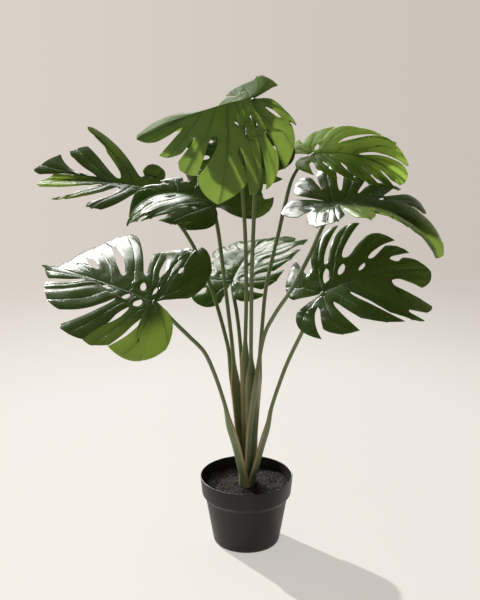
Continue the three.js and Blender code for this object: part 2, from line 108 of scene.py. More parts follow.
# What sinks in the upper face: how deep, and how far from its line it ends.
VEIN_GROOVE = (0.3, 2.2)
MIDRIB_GROOVE = (0.8, 2.4)
MARGIN_DROP = (1.1, 9)
WAVES = ((2.4, 42, 20), (0.8, 16, 12))  # height, size, distance from the midrib where it is full

# A blade's thickness at its margin, what the inner part has more, and the ridges underneath.
MARGIN_THICKNESS = 0.5
INNER_THICKNESS = 0.3
MARGIN_WIDTH = 5
VEIN_RIDGE = (0.9, 1.9)
MIDRIB_RIDGE = (2.2, 2.6)
RIDGE_LENGTH = 150
MOST_THICKNESS = 4

# ---- stalks ----

STALK_RINGS = 130
STALK_SIDES = 32
STALK_RADIUS = 3.6
STALK_HEAD = 0.8  # by which a stalk is wider under its blade
STALK_HEAD_LENGTH = 30
SHEATH_FADE = 30  # height above and below the sheath's top over which it narrows
SHEATH_WING = 1.3
# The side of a sheath that faces the middle of the plant: 1 is round, 0 flat, below 0 hollow.
SHEATH_INSIDE = {"top": 1, "hidden": 1, "lower_left": -0.3, "lower_right": -0.3}

# Where the slits between the lobes leave the midrib, as parts of its length, from the base on.
SIX_LOBES = (0, 0, 0.03, 0.15, 0.31, 0.48, 0.64)

# Each leaf: where its stalk meets the blade, how its midrib points (heading from +X, pitch up,
# roll about itself), its arch in front of the stalk and behind it, its twist, and "tip", the
# midrib's own stretch past its last slit. Then come each half's slits, with their angle from the
# midrib and their reach, and how the half droops at the midrib and curls towards the margin.
# The first slit is the edge of the notch at the base, so the cuts and holes start at the second.
# A cut has its start as a part of the reach, its half width there and at the margin as parts of a
# lobe's width, how far it is moved towards the tip, and how much more so at the margin. A plain
# cut is only its start. A hole has its start, end, half width and move, or only start and end.
# "ends" gives a lobe's near shoulder, the place and reach of its tip, and its far shoulder, and
# the next table painted sunlight: how much more light a lobe lets through where the sun lights it.
# "stalk" is the stalk's centre line from the pot up, and "sheath" its wide foot: half width, half
# depth and top.
LEAVES = {
    "top": dict(
        junction=(10, -30, 860), heading=227, pitch=3, roll=-46,
        length=224, arch=43, back=2, twist=9, tip=76,
        veins=(0, 0, 0.1, 0.17, 0.23, 0.31, 0.42, 0.56, 0.7), shine=0.01,
        left=dict(
            droop=8, curl=1,
            angles=(183, 160, 121, 96, 88, 63, 43, 26), reach=(69, 101, 131, 160, 163, 165, 118, 95),
            cuts=(
                (0.86, 0.04, 0.06, 0.1, 0), (0.48, 0.1, 0.01, 0.22, 0), (0.5, 0.03, 0.02, -0.25, 0.3),
                (0.5, 0.1, 0.01, 0.25, -0.25), (0.36, 0.17, 0.01, 0.15, 0.12), (0.5, 0.03, 0.04, 0, 0),
                (0.35, 0.12, 0.3, 0, 0),
            ),
            holes=(
                (0.28, 0.66, 0.13, 0.2), (0.2, 0.42, 0.16, 0.5), (0.26, 0.42, 0.2, 0.55),
                (0.2, 0.28, 0.13, 0.14), None, None, None,
            ),
            ends={4: (0.86, 0.5, 1.06, 0.86), 5: (0.84, 0.7, 0.98, 0.92)},
        ),
        right=dict(
            droop=(0, 4, 36, 60, 70, 70, 66, 40), curl=24,
            angles=(166, 153, 132, 112, 94, 77, 55, 48), reach=(148, 100, 76, 78, 100, 115, 122, 108),
            cuts=(
                (0.97, 0.02, 0.02, 0, 0), (0.45, 0.07, 0.06, 0, 0), (0.5, 0.07, 0.06, 0, 0),
                (0.5, 0.07, 0.06, 0, 0), (0.45, 0.07, 0.06, 0, 0), (0.5, 0.07, 0.06, 0, 0),
                (0.5, 0.07, 0.06, 0, 0),
            ),
            holes=(None, None, (0.16, 0.36), (0.15, 0.3), None, None, None),
        ),
        sheath=dict(width=11, depth=6.5, top=350),
        stalk=(
            (5, 2, 46), (7, 2, 115), (9, 2, 206), (9, 1, 288), (8, 0, 368), (8, -4, 448), (9, -10, 545),
            (12, -16, 639), (15, -22, 723), (14, -27, 795),
        ),
    ),
    "hidden": dict(
        junction=(-11, 28, 753), heading=78, pitch=44, roll=14,
        length=178, arch=58, back=33, twist=3, tip=63,
        veins=SIX_LOBES, shine=0.5,
        left=dict(
            droop=-2, curl=24,
            angles=(163, 118, 89, 65, 52, 39), reach=(56, 95, 103, 100, 97, 82),
            cuts=(0.6, 0.5, 0.45, 0.5, 0.55),
            holes=(None, (0.15, 0.32), (0.14, 0.32), (0.15, 0.32), None),
        ),
        right=dict(
            droop=-8, curl=17,
            angles=(164, 123, 85, 54, 46, 35), reach=(60, 91, 97, 92, 93, 81),
            cuts=(0.6, 0.5, 0.45, 0.5, 0.55),
            holes=(None, (0.15, 0.32), (0.14, 0.32), (0.15, 0.32), None),
        ),
        sheath=dict(width=8.5, depth=6, top=380),
        stalk=(
            (-2, 4, 46), (-1, 5, 114), (-1, 7, 204), (-2, 8, 285), (-3, 10, 374), (-1, 14, 480),
            (-2, 18, 574), (-6, 23, 657), (-10, 27, 716),
        ),
    ),
    "back": dict(
        junction=(-28, 120, 483), heading=68, pitch=31, roll=-13,
        length=200, arch=41, back=39, twist=-6, tip=71,
        veins=SIX_LOBES, shine=0.18,
        left=dict(
            droop=-7, curl=23,
            angles=(170, 115, 76, 68, 58, 44), reach=(59, 95, 106, 123, 110, 93),
            cuts=(0.55, 0.45, 0.45, 0.5, 0.55),
            holes=(None, (0.15, 0.32), (0.14, 0.32), None, None),
        ),
        right=dict(
            droop=-7, curl=11,
            angles=(161, 122, 92, 72, 54, 26), reach=(53, 95, 108, 127, 133, 89),
            cuts=(0.5, 0.45, 0.4, 0.5, 0.55),
            holes=(None, (0.15, 0.32), (0.14, 0.3), (0.15, 0.32), None),
        ),
        sheath=dict(width=6, depth=5, top=260),
        stalk=(
            (-2, 11, 46), (-2, 12, 110), (-4, 22, 187), (-7, 42, 271), (-11, 76, 359), (-18, 102, 421),
            (-25, 116, 460),
        ),
    ),
    "upper_right": dict(
        junction=(119, 60, 742), heading=-9, pitch=11, roll=7,
        length=176, arch=53, back=15, twist=-10, tip=67,
        veins=SIX_LOBES, shine=0.03,
        left=dict(
            droop=-16, curl=17,
            angles=(165, 119, 85, 61, 51, 29), reach=(52, 86, 102, 118, 123, 97),
            cuts=(
                (0.6, 0.07, 0.1, 0, 0), (0.5, 0.03, 0.05, 0, 0), (0.27, 0.24, 0.12, 0.05, 0.3),
                (0.97, 0.02, 0.02, 0, 0), (0.06, 0.14, 0.06, -0.25, 0.33),
            ),
            holes=(None, (0.12, 0.33, 0.2, -0.15), None, None, None),
            ends={3: (0.86, 0.6, 0.94, 0.93), 4: (0.93, 0.9, 1.03, 0.97)},
        ),
        right=dict(
            droop=-6, curl=19,
            angles=(156, 94, 76, 66, 54, 37), reach=(30, 95, 110, 111, 104, 87),
            cuts=(0.5, 0.45, 0.5, 0.5, 0.55),
            holes=(None, None, (0.12, 0.2, 0.06, 0), None, None),
        ),
        sheath=dict(width=11, depth=6, top=350),
        stalk=(
            (6, 8, 46), (9, 8, 112), (14, 12, 222), (21, 17, 322), (28, 24, 418), (35, 31, 496),
            (46, 38, 549), (57, 44, 595), (69, 51, 649), (83, 56, 700), (101, 59, 727),
        ),
    ),
    "center_left": dict(
        junction=(-58, 55, 648), heading=158, pitch=27, roll=-12,
        length=200, arch=78, back=28, twist=0, tip=85,
        veins=SIX_LOBES, shine=0.3,
        left=dict(
            droop=-5, curl=27,
            angles=(136, 96, 66, 58, 50, 39), reach=(46, 96, 113, 125, 123, 109),
            cuts=(
                (0.97, 0.02, 0.02, 0, 0), (0.8, 0.04, 0.06, 0, 0), (0.9, 0.04, 0.04, 0, 0),
                (0.5, 0.05, 0.04, 0, 0), (0.6, 0.05, 0.05, 0, 0),
            ),
            holes=(None, (0.34, 0.42, 0.06, 0), None, (0.15, 0.3, 0.06, 0), None),
        ),
        right=dict(
            droop=-34, curl=24,
            angles=(210, 135, 105, 90, 70, 48), reach=(46, 112, 101, 82, 54, 44),
            cuts=(0.8, 0.45, 0.5, 0.5, 0.55),
            holes=(None, (0.15, 0.32), (0.14, 0.32), None, None),
        ),
        sheath=dict(width=10.5, depth=6, top=340),
        stalk=(
            (-4, -3, 46), (-4, -3, 118), (-12, 4, 226), (-20, 11, 314), (-28, 21, 400), (-37, 32, 478),
            (-45, 42, 544), (-52, 50, 599),
        ),
    ),
    "far_left": dict(
        junction=(-188, 192, 648), heading=184, pitch=12, roll=-34,
        length=216, arch=26, back=25, twist=-7, tip=78,
        veins=(0, 0.07, 0.23, 0.32, 0.36, 0.59, 0.72), shine=0.6,
        left=dict(
            droop=-13, curl=-0.9,
            angles=(147, 61, 60, 42, 30, 18), reach=(36, 155, 136, 132, 126, 88),
            cuts=(
                (0.15, 0.1, 0.12, -0.2, 0), (0.12, 0.3, 0.7, 0, -0.15), (0.12, 0.4, 0.72, 0.75, -0.6),
                (0.7, 0.03, 0.03, 0.6, 0), (0.62, 0.02, 0.02, 0, 0),
            ),
            ends={
                0: (0.7, 0.3, 0.75, 0.3), 1: (0.8, 0.9, 0.87, 0.85), 2: (1.0, 0.3, 1.06, 0.95),
                3: (1.02, 0.3, 1.06, 0.9), 4: (0.9, 0.5, 0.85, 0.75), 5: (0.74, 0.5, 0.72, 0.68),
            },
            sun_through={2: 0.4, 3: 1, 4: 1, 5: 1},
        ),
        right=dict(
            droop=-3.4, curl=-5.4,
            angles=(148, 67, 68, 37, 16, 15), reach=(44, 184, 150, 136, 136, 95),
            cuts=(
                (0.12, 0.12, 0.15, -0.2, 0.1), (0.08, 0.28, 0.2, 0.1, 0), (0.2, 0.3, 0.05, 0.7, -0.95),
                (0.4, 0.03, 0.04, -0.15, 0.05), (0.6, 0.02, 0.02, 0, 0),
            ),
            ends={
                0: (0.7, 0.3, 0.75, 0.25), 1: (0.93, 0.08, 0.97, 0.55), 2: (0.78, 0.85, 0.88, 0.82),
                3: (0.93, 0.75, 1.11, 0.98), 4: (0.7, 0.5, 0.72, 0.66), 5: (0.66, 0.5, 0.68, 0.68),
            },
            sun_through={1: 0.25, 4: 1, 5: 1},
        ),
        sheath=dict(width=8.5, depth=6, top=350),
        stalk=(
            (-6, 6, 46), (-6, 6, 113), (-14, 16, 220), (-23, 33, 304), (-33, 50, 366), (-58, 85, 453),
            (-75, 108, 496), (-94, 130, 535), (-113, 154, 563), (-135, 170, 590), (-163, 184, 618),
        ),
    ),
    "middle_right": dict(
        junction=(149, -55, 682), heading=-9, pitch=9, roll=7,
        length=194, arch=65, back=2, twist=10, tip=85,
        veins=SIX_LOBES, shine=1,
        left=dict(
            droop=-19, curl=23,
            angles=(168, 122, 102, 86, 50, 26), reach=(71, 116, 136, 126, 124, 110),
            cuts=(
                (0.38, 0.04, 0.12, -0.03, 0.05), (0.23, 0.12, 0.16, 0.4, -0.4),
                (0.21, 0.06, 0.26, 0.22, -0.06), (0.35, 0.03, 0.02, -0.13, -0.3),
                (0.59, 0.05, 0.15, -0.77, 0),
            ),
            holes=(None, None, None, (0.22, 0.3, 0.07, -0.02), None),
            ends={
                0: (0.9, 0.7, 1.14, 0.85), 1: (1.28, 0.1, 1.32, 1.04), 2: (1.2, 0.3, 1.32, 1.2),
                3: (1.0, 0.2, 1.06, 0.75), 4: (1.2, 0.1, 1.27, 0.95), 5: (1.25, 0.06, 1.28, 1.16),
            },
            sun_through={5: 0.4},
        ),
        right=dict(
            droop=-11, curl=10,
            angles=(196, 126, 104, 88, 68, 44), reach=(73, 106, 123, 113, 108, 110),
            cuts=(
                (0.5, 0.04, 0.15, -0.15, 0.1), (0.6, 0.02, 0.03, 0.1, -0.1),
                (0.4, 0.03, 0.12, -0.45, 0.2), (0.64, 0.02, 0.02, -0.4, 0), (0.7, 0.03, 0.05, -0.3, 0),
            ),
            holes=(None, (0.15, 0.32), None, (0.15, 0.3), None),
            ends={
                0: (0.9, 0.6, 1.12, 0.9), 1: (1.0, 0.5, 1.18, 1.14), 2: (1.07, 0.15, 1.1, 0.78),
                3: (0.98, 0.5, 1.02, 0.74), 4: (0.64, 0.5, 0.66, 0.72), 5: (0.8, 0.45, 1.0, 1.12),
            },
            sun_through={3: 0.9, 4: 0.5, 5: 0.5},
        ),
        sheath=dict(width=13, depth=6, top=350),
        stalk=(
            (0, -8, 46), (1, -8, 120), (3, -10, 212), (10, -12, 283), (21, -15, 364), (33, -21, 428),
            (51, -36, 471), (77, -58, 521), (102, -66, 573), (116, -66, 605), (128, -64, 633),
            (140, -60, 658),
        ),
    ),
    "lower_left": dict(
        junction=(-161, -125, 524), heading=149, pitch=11, roll=-40,
        length=238, arch=16, back=12, twist=-8, tip=93,
        veins=(0, 0, 0.03, 0.15, 0.31, 0.48, 0.59, 0.68), shine=1,
        left=dict(
            droop=-4, curl=15,
            angles=(170, 123, 89, 74, 65, 39, 29), reach=(64, 113, 124, 134, 124, 113, 97),
            cuts=(
                (0.99, 0.01, 0.01, 0, 0), (0.31, 0.1, 0.0, -0.28, 0.26),
                (0.22, 0.12, -0.25, -0.26, 0.02), (0.19, 0.1, 0.28, -0.42, 0.48),
                (0.12, 0.05, 0.04, -0.1, 0.17), (0.14, 0.12, 0.2, 0, 0),
            ),
            holes=(
                None, None, (0.05, 0.18, 0.22, -0.42), (0.03, 0.15, 0.17, -0.64),
                (0.03, 0.1, 0.14, -0.42), None,
            ),
            ends={
                0: (0.55, 0.55, 1.06, 1.0), 1: (1.0, 0.2, 1.0, 0.9), 2: (0.88, 0.55, 1.0, 0.96),
                3: (0.96, 0.85, 1.06, 1.0), 4: (0.9, 0.5, 1.04, 1.03), 5: (1.02, 0.4, 1.1, 1.0),
                6: (0.95, 0.5, 1.08, 1.05),
            },
            sun_through={0: 0.9, 1: 0.8, 2: 0.3},
        ),
        right=dict(
            droop=-3, curl=27,
            angles=(151, 106, 86, 74, 63, 37, 20), reach=(76, 138, 121, 127, 141, 119, 105),
            cuts=(
                (0.93, 0.04, 0.08, 0.1, 0), (0.38, 0.15, -0.06, 0.06, 0.1),
                (0.34, 0.12, 0.33, -0.1, 0.16), (0.2, 0.16, -0.05, -0.06, 0.45),
                (0.31, 0.16, -0.3, 0, -0.05), (0.97, 0.02, 0.05, 0, 0),
            ),
            holes=(
                (0.48, 0.61, 0.1, 0.07), (0.07, 0.22, 0.13, 0), (0.08, 0.21, 0.18, -0.2), None, None,
                None,
            ),
            ends={
                0: (0.78, 0.5, 1.13, 1.04), 1: (0.92, 0.8, 1.02, 0.96), 2: (0.96, 0.2, 0.98, 0.78),
                3: (1.1, 0.35, 1.34, 1.08), 4: (1.08, 0.35, 1.28, 1.2), 5: (1.2, 0.3, 1.24, 1.18),
                6: (1.18, 0.5, 1.22, 1.12),
            },
        ),
        sheath=dict(width=12, depth=7, top=262),
        stalk=(
            (-2, -9, 46), (-3, -10, 123), (-10, -13, 163), (-20, -16, 208), (-31, -18, 248),
            (-41, -22, 290), (-58, -36, 352), (-77, -54, 404), (-101, -72, 438), (-128, -94, 475),
            (-150, -115, 508),
        ),
    ),
    "lower_right": dict(
        junction=(132, -75, 523), heading=0, pitch=28, roll=29,
        length=190, arch=40, back=9, twist=-12, tip=81,
        veins=SIX_LOBES, shine=1,
        left=dict(
            droop=-12, curl=19,
            angles=(170, 102, 76, 62, 47, 29), reach=(66, 112, 140, 142, 117, 90),
            cuts=(
                (0.45, 0.16, 0.2, -0.02, 0), (0.39, 0.11, 0.02, 0.03, 0.05), (0.4, 0.2, 0.24, 0, 0.03),
                (0.42, 0.15, 0.02, 0.1, 0), (0.55, 0.22, 0.1, 0, -0.05),
            ),
            holes=(
                None, (0.1, 0.32, 0.2, 0.12), (0.15, 0.31, 0.16, 0.05), (0.17, 0.32, 0.14, 0.08), None,
            ),
        ),
        right=dict(
            droop=-3, curl=15,
            angles=(171, 116, 79, 63, 60, 45), reach=(71, 99, 113, 135, 141, 115),
            cuts=(
                (0.33, 0.13, 0.05, -0.17, 0.12), (0.28, 0.14, 0.2, -0.02, 0),
                (0.2, 0.1, 0.03, 0.12, -0.05), (0.8, 0.1, 0.05, 0.02, 0),
                (0.3, 0.22, 0.25, 0.15, -0.05),
            ),
        ),
        sheath=dict(width=11, depth=7, top=256),
        stalk=(
            (5, -8, 46), (7, -9, 122), (17, -12, 162), (27, -15, 204), (38, -16, 245), (46, -19, 282),
            (59, -26, 329), (74, -38, 378), (94, -55, 432), (112, -68, 477), (123, -76, 508),
        ),
    ),
}


def lerp(a, b, share):
    return a + (b - a) * share


def eased(value):
    """A soft step from 0 to 1."""
    share = min(max(value, 0), 1)
    return share * share * (3 - 2 * share)


def smooth(values, place):
    """A smooth curve through evenly spaced values, read at a fractional place."""
    last = len(values) - 1
    at = min(math.floor(place), last - 1)
    f = place - at
    a, b = values[max(at - 1, 0)], values[at]
    c, d = values[at + 1], values[min(at + 2, last)]
    square = f * f * (2 * a - 5 * b + 4 * c - d)
    cube = f * f * f * (3 * b - a - 3 * c + d)
    return b + 0.5 * (f * (c - a) + square + cube)


def lengths_along(line):
    """How far each point of a line is from the first one, walked along the line."""
    walked = [0]
    for a, b in zip(line, line[1:]):
        walked.append(walked[-1] + (b - a).length)
    return walked


# ---- handling of objects ----

def deselect_all():
    for other in bpy.context.view_layer.objects:
        other.select_set(False)


def pick(thing):
    """Makes one object the selected and active one."""
    deselect_all()
    thing.select_set(True)
    bpy.context.view_layer.objects.active = thing


def edit_all(thing):
    pick(thing)
    bpy.ops.object.mode_set(mode="EDIT")
    bpy.ops.mesh.select_all(action="SELECT")


def leave_edit():
    bpy.ops.object.mode_set(mode="OBJECT")


def close_ends():
    """In edit mode, fills the open ends of a tube and turns all its faces outwards."""
    bpy.ops.mesh.select_all(action="DESELECT")
    bpy.ops.mesh.select_non_manifold()
    bpy.ops.mesh.edge_face_add()
    bpy.ops.mesh.select_all(action="SELECT")
    bpy.ops.mesh.normals_make_consistent(inside=False)


def apply_modifiers(thing):
    pick(thing)
    for modifier in list(thing.modifiers):
        bpy.ops.object.modifier_apply(modifier=modifier.name)


def join_into(first, others):
    pick(first)
    for other in others:
        other.select_set(True)
    bpy.ops.object.join()


def add_grid(rows, columns):
    """A flat grid, to be laid out point by point."""
    deselect_all()
    bpy.ops.mesh.primitive_grid_add(x_subdivisions=rows, y_subdivisions=columns, size=1)
    return bpy.context.object


def grid_place(vertex, rows, columns):
    """The row and column of a point of a new grid."""
    return round((vertex.co.x + 0.5) * rows), round((vertex.co.y + 0.5) * columns)


def new_fields(mesh, names):
    """Adds one number per point under each name. All are made before any is read or written."""
    for name in names:
        mesh.attributes.new(name, "FLOAT", "POINT")
    return {name: mesh.attributes[name].data for name in names}


def declare(piece, node):
    """Attaches a piece to the plant's body and hides the CAD node that it stands for."""
    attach(piece, "root")
    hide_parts(node)


# ---- leaf blades ----

def leaf_matrix(leaf):
    """The leaf's own frame: x to the right of the midrib, y along it, z out of the upper face."""
    heading, pitch = math.radians(leaf["heading"]), math.radians(leaf["pitch"])
    level = math.cos(pitch)
    along = Vector((math.cos(heading) * level, math.sin(heading) * level, math.sin(pitch)))
    right = Vector((math.sin(heading), -math.cos(heading), 0))
    right.rotate(Matrix.Rotation(math.radians(leaf["roll"]), 3, along))
    up = right.cross(along)
    turned = Matrix((right, along, up)).transposed().to_4x4()
    return Matrix.Translation(leaf["junction"]) @ turned


def droop_at(half, vein):
    """A half's droop is one angle for all its slits, or has one for each."""
    droop = half["droop"]
    return smooth((*droop, 0), vein) if isinstance(droop, tuple) else droop


def arched(leaf, x, y, z):
    """Bends the midrib into its arch, before the stalk and behind it, and twists the blade."""
    bend = leaf["arch"] / leaf["length"] if y > 0 else leaf["back"] / (BACK_LENGTH * leaf["length"])
    curvature = math.radians(bend) + 1e-7
    turned = curvature * abs(y)
    along = math.copysign(math.sin(turned), y)
    arched_y = along / curvature + along * z
    arched_z = -(1 - math.cos(turned)) / curvature + math.cos(turned) * z
    twist = math.radians(leaf["twist"]) * y / leaf["length"]
    return Vector((x * math.cos(twist), arched_y, arched_z + x * math.sin(twist)))


def blade_point(leaf, side, vein, reach):
    """The flat place (x across, y along the midrib) and the bent place of a point of the blade.

    "vein" counts the slits from 0 at the notch to the midrib, and "reach" is 0 at the midrib and
    1 at the margin.
    """
    half = leaf["right"] if side > 0 else leaf["left"]
    from_midrib = len(half["angles"]) - vein
    bend = eased(from_midrib / DROOP_START)
    start = math.radians(smooth((*half["angles"], 0), vein))
    length = smooth((*half["reach"], leaf["tip"]), vein)
    turn = math.radians(BLADE_TURN) * min(from_midrib / TURN_START, 1) * min(vein + NOTCH_TURN, 1)
    droop = droop_at(half, vein)
    step = length * reach / WALK_STEPS
    x = 0
    y = max(0, smooth(leaf["veins"], vein)) * leaf["length"]
    z = 0
    for i in range(WALK_STEPS):
        walked = (i + 0.5) / WALK_STEPS * reach
        fall = bend * math.radians(droop + half["curl"] * walked ** CURL_POWER)
        angle = start - turn * walked
        x += math.sin(angle) * math.cos(fall) * step
        y += math.cos(angle) * math.cos(fall) * step
        z -= math.sin(fall) * step
    return x, y, arched(leaf, side * x, y, z)


SlitRow = namedtuple("SlitRow", "reach out width move")


def slit_rows(half, vein, length):
    """One slit from the midrib outwards: reach, share of the open part, half width and move."""
    cut, hole = (0.5, 0, 0, 0, 0), None
    if 0 < vein < len(half["angles"]):
        cut = half["cuts"][vein - 1]
        hole = half["holes"][vein - 1] if "holes" in half else None
    begin, inner, outer, move, lean = cut if isinstance(cut, tuple) else (cut, *PLAIN_CUT)
    closed_hole = (0.3 * begin, 0.7 * begin, 0, move)
    first, last, hole_width, hole_move = (*hole, *PLAIN_HOLE)[:4] if hole else closed_hole
    rows = [(0, 0, 0, 0), (FIRST_ROW / length, 0, 0, 0), (0.55 * first, 0, 0, 0.6 * hole_move)]
    for i in range(HOLE_STEPS + 1):
        share = i / HOLE_STEPS
        width = hole_width * math.sin(math.pi * share) ** 0.55 if 0 < share < 1 else 0
        rows.append((lerp(first, last, share), 0, width, hole_move))
    rows.append((lerp(last, begin, 0.5), 0, 0, (hole_move + move) / 2))
    for i in range(CUT_STEPS + 1):
        out = (i / CUT_STEPS) ** 1.3
        rounding = math.sqrt(1 - (1 - min(out / CUT_ROUND, 1)) ** 2)
        past_rounding = max(out - CUT_ROUND, 0) / (1 - CUT_ROUND)
        width = max(lerp(inner, outer, past_rounding), 0) * rounding
        rows.append((begin, out, width, move + lean * out))
    return [SlitRow(*row) for row in rows]


def margin_reach(half, lobe, across):
    """How far out the margin lies across a lobe: its shoulders and its pointed tip."""
    if lobe not in half.get("ends", {}):
        return LOBE_SHOULDER + (LOBE_CORNER - LOBE_SHOULDER) * (1 - (1 - across) ** 2.6)
    near, point, peak, far = half["ends"][lobe]
    share = across / point if across < point else (1 - across) / (1 - point)
    rise = (1 - TIP_POINT) * (1 - (1 - share) ** 2) + TIP_POINT * share ** 4
    return lerp(near if across < point else far, peak, rise)


def lobe_points(leaf, side, lobe, near, far):
    """Row by row, the flat places and the bent points of a lobe between its two slits."""
    half = leaf["right"] if side > 0 else leaf["left"]
    flats, points = [], []
    for near_row, far_row in zip(near, far):
        near_side = lobe + near_row.move + near_row.width
        far_side = lobe + 1 + far_row.move - far_row.width
        flat_line, line = [], []
        for across in LOBE_COLUMNS:
            begin = lerp(near_row.reach, far_row.reach, across)
            outer = lerp(near_row.out, far_row.out, across)
            reach = begin + outer * (margin_reach(half, lobe, across) - begin)
            x, y, point = blade_point(leaf, side, lerp(near_side, far_side, across), reach)
            flat_line.append((x, y))
            line.append(point)
        flats.append(flat_line)
        points.append(line)
    return flats, points


def panel_lift(near_width, far_width, across, span, rib):
    """How far the panel between two veins bulges, less where it ends in an open slit."""
    openness = (near_width if across < 0.5 else far_width) / OPEN_WIDTH
    place = abs(2 * across - 1)
    crest = lerp(math.sin(math.pi * place / 2), math.sin(math.pi * place), min(openness, 1))
    return PANEL_RISE * span * crest * eased(rib / PANEL_START)


def widened(rows, scale):
    return [row._replace(width=row.width * scale) for row in rows]


def shape_lobe(leaf, side, lobe, draw):
    """Adds a grid and lays it out as one lobe, between the slits "lobe" and "lobe" + 1."""
    half = leaf["right"] if side > 0 else leaf["left"]
    reaches = (*half["reach"], leaf["tip"])
    near_slit = slit_rows(half, lobe, reaches[lobe])
    far_slit = slit_rows(half, lobe + 1, reaches[lobe + 1])
    near = widened(near_slit, draw.uniform(*CUT_WIDTH_RANGE))
    far = widened(far_slit, draw.uniform(*CUT_WIDTH_RANGE))
    tilt = draw.uniform(-LOBE_TILT, LOBE_TILT)
    flats, points = lobe_points(leaf, side, lobe, near, far)
    spans = [lengths_along(line) for line in points]
    runs = [lengths_along(line) for line in zip(*points)]
    sun_through = half.get("sun_through", {}).get(lobe, 0)
    matrix = leaf_matrix(leaf)
    middle = LOBE_COLUMNS.index(0.5)
    last_row, last_column = len(near) - 1, len(LOBE_COLUMNS) - 1
    piece = add_grid(last_row, last_column)
    mesh = piece.data
    names = ("vein_mm", "rib_mm", "edge_mm", "run_mm", "sun_through", "shine", "lift_mm")
    fields = new_fields(mesh, names)
    for vertex in mesh.vertices:
        row, column = grid_place(vertex, last_row, last_column)
        across, span, run = LOBE_COLUMNS[column], spans[row][column], runs[column][row]
        width, whole_run = spans[row][-1], runs[column][-1]
        x, y = flats[row][column]
        rib = abs(x) if y > 0 else math.hypot(x, y)
        near_width, far_width = near_slit[row].width, far_slit[row].width
        near_gap = span if near_width > 0 or lobe == 0 else NO_EDGE
        far_gap = width - span if far_width > 0 else NO_EDGE
        lift = panel_lift(near_width, far_width, across, width, rib)
        lift += tilt * width * (across - 0.5) * near[row].out
        # Painted sunlight on the lobes that the sun lights: more light let through, fading out towards
        # the junction as painted shade.
        painted_sun_here = sun_through * eased((run / whole_run - 0.2) / 0.5)
        edge = min(near_gap, far_gap, whole_run - run)
        vein = abs(span - spans[row][middle])
        for name, value in zip(names, (vein, rib, edge, run, painted_sun_here, leaf["shine"], lift)):
            fields[name][vertex.index].value = value
        vertex.co = (matrix @ points[row][column]) * MM
    if side < 0:
        mesh.flip_normals()
    return piece


def near_line(shape, distance):
    """How strong a groove or ridge still is at a distance from its line."""
    return eased(1 - distance / shape[1])


def raise_relief(piece, seed):
    """Lifts the panels between the veins, sinks the veins and lets the open edges hang.

    "seed" gives each leaf waves of its own.
    """
    mesh = piece.data
    lift, vein = mesh.attributes["lift_mm"].data, mesh.attributes["vein_mm"].data
    rib, edge = mesh.attributes["rib_mm"].data, mesh.attributes["edge_mm"].data
    normals = [vertex.normal.copy() for vertex in mesh.vertices]
    offset = Vector((seed * 3.1, seed * 1.7, seed * 2.3))
    for vertex, normal in zip(mesh.vertices, normals):
        i = vertex.index
        height = lift[i].value
        height -= VEIN_GROOVE[0] * near_line(VEIN_GROOVE, vein[i].value) * eased(rib[i].value / 8)
        height -= MIDRIB_GROOVE[0] * near_line(MIDRIB_GROOVE, rib[i].value)
        height -= MARGIN_DROP[0] * near_line(MARGIN_DROP, edge[i].value)
        for rise, size, full in WAVES:
            height += rise * noise.noise(vertex.co / (size * MM) + offset) * eased(rib[i].value / full)
        vertex.co = vertex.co + normal * height * MM


def weigh_thickness(piece):
    """A vertex group with the blade's thickness: less of it at the margins, ridges under the veins."""
    mesh = piece.data
    group = piece.vertex_groups.new(name="thickness")
    vein, rib = mesh.attributes["vein_mm"].data, mesh.attributes["rib_mm"].data
    edge, run = mesh.attributes["edge_mm"].data, mesh.attributes["run_mm"].data
    for i in range(len(mesh.vertices)):
        thick = MARGIN_THICKNESS + INNER_THICKNESS * eased(edge[i].value / MARGIN_WIDTH)
        fade = 1 - eased(run[i].value / RIDGE_LENGTH)
        thick += VEIN_RIDGE[0] * fade * near_line(VEIN_RIDGE, vein[i].value)
        thick += MIDRIB_RIDGE[0] * (0.3 + 0.7 * fade) * near_line(MIDRIB_RIDGE, rib[i].value)
        group.add([i], min(thick / MOST_THICKNESS, 1), "REPLACE")


def make_blade(name, leaf, skins):
    """Lobe by lobe around the leaf, joined, given its relief and then its thickness."""
    draw = random.Random("blade " + name)
    lobes = []
    for side in (1, -1):
        for lobe in range(len(leaf["veins"]) - 1):
            lobes.append(shape_lobe(leaf, side, lobe, draw))
    piece = lobes[0]
    join_into(piece, lobes[1:])
    piece.name = name + "_blade"
    edit_all(piece)
    bpy.ops.mesh.remove_doubles(threshold=0.002 * MM)
    leave_edit()
    raise_relief(piece, len(name))
    weigh_thickness(piece)
    for skin in skins:
        piece.data.materials.append(skin)
    solid = piece.modifiers.new("thickness", "SOLIDIFY")
    solid.thickness = MOST_THICKNESS * MM
    solid.offset = -1
    solid.vertex_group = "thickness"
    solid.material_offset = 1
    solid.use_quality_normals = True
    apply_modifiers(piece)
    bpy.ops.object.shade_smooth_by_angle(angle=math.radians(50))
    declare(piece, "leaf_" + name + "_blade")


# ---- stalks ----

def centripetal(points, steps):
    """Points of a smooth curve through the given ones, close together."""
    ends = [2 * points[0] - points[1], *points, 2 * points[-1] - points[-2]]
    curve = []
    for i in range(1, len(ends) - 2):
        p0, p1, p2, p3 = ends[i - 1:i + 3]
        d0, d1, d2 = (p1 - p0).length ** 0.5, (p2 - p1).length ** 0.5, (p3 - p2).length ** 0.5
        t1 = ((p1 - p0) / d0 - (p2 - p0) / (d0 + d1) + (p2 - p1) / d1) * d1
        t2 = ((p2 - p1) / d1 - (p3 - p1) / (d1 + d2) + (p3 - p2) / d2) * d1
        for step in range(steps):
            s = step / steps
            square, cube = s * s, s * s * s
            curve.append(
                (2 * cube - 3 * square + 1) * p1 + (cube - 2 * square + s) * t1
                + (3 * square - 2 * cube) * p2 + (cube - square) * t2
            )
    curve.append(points[-1].copy())
    return curve


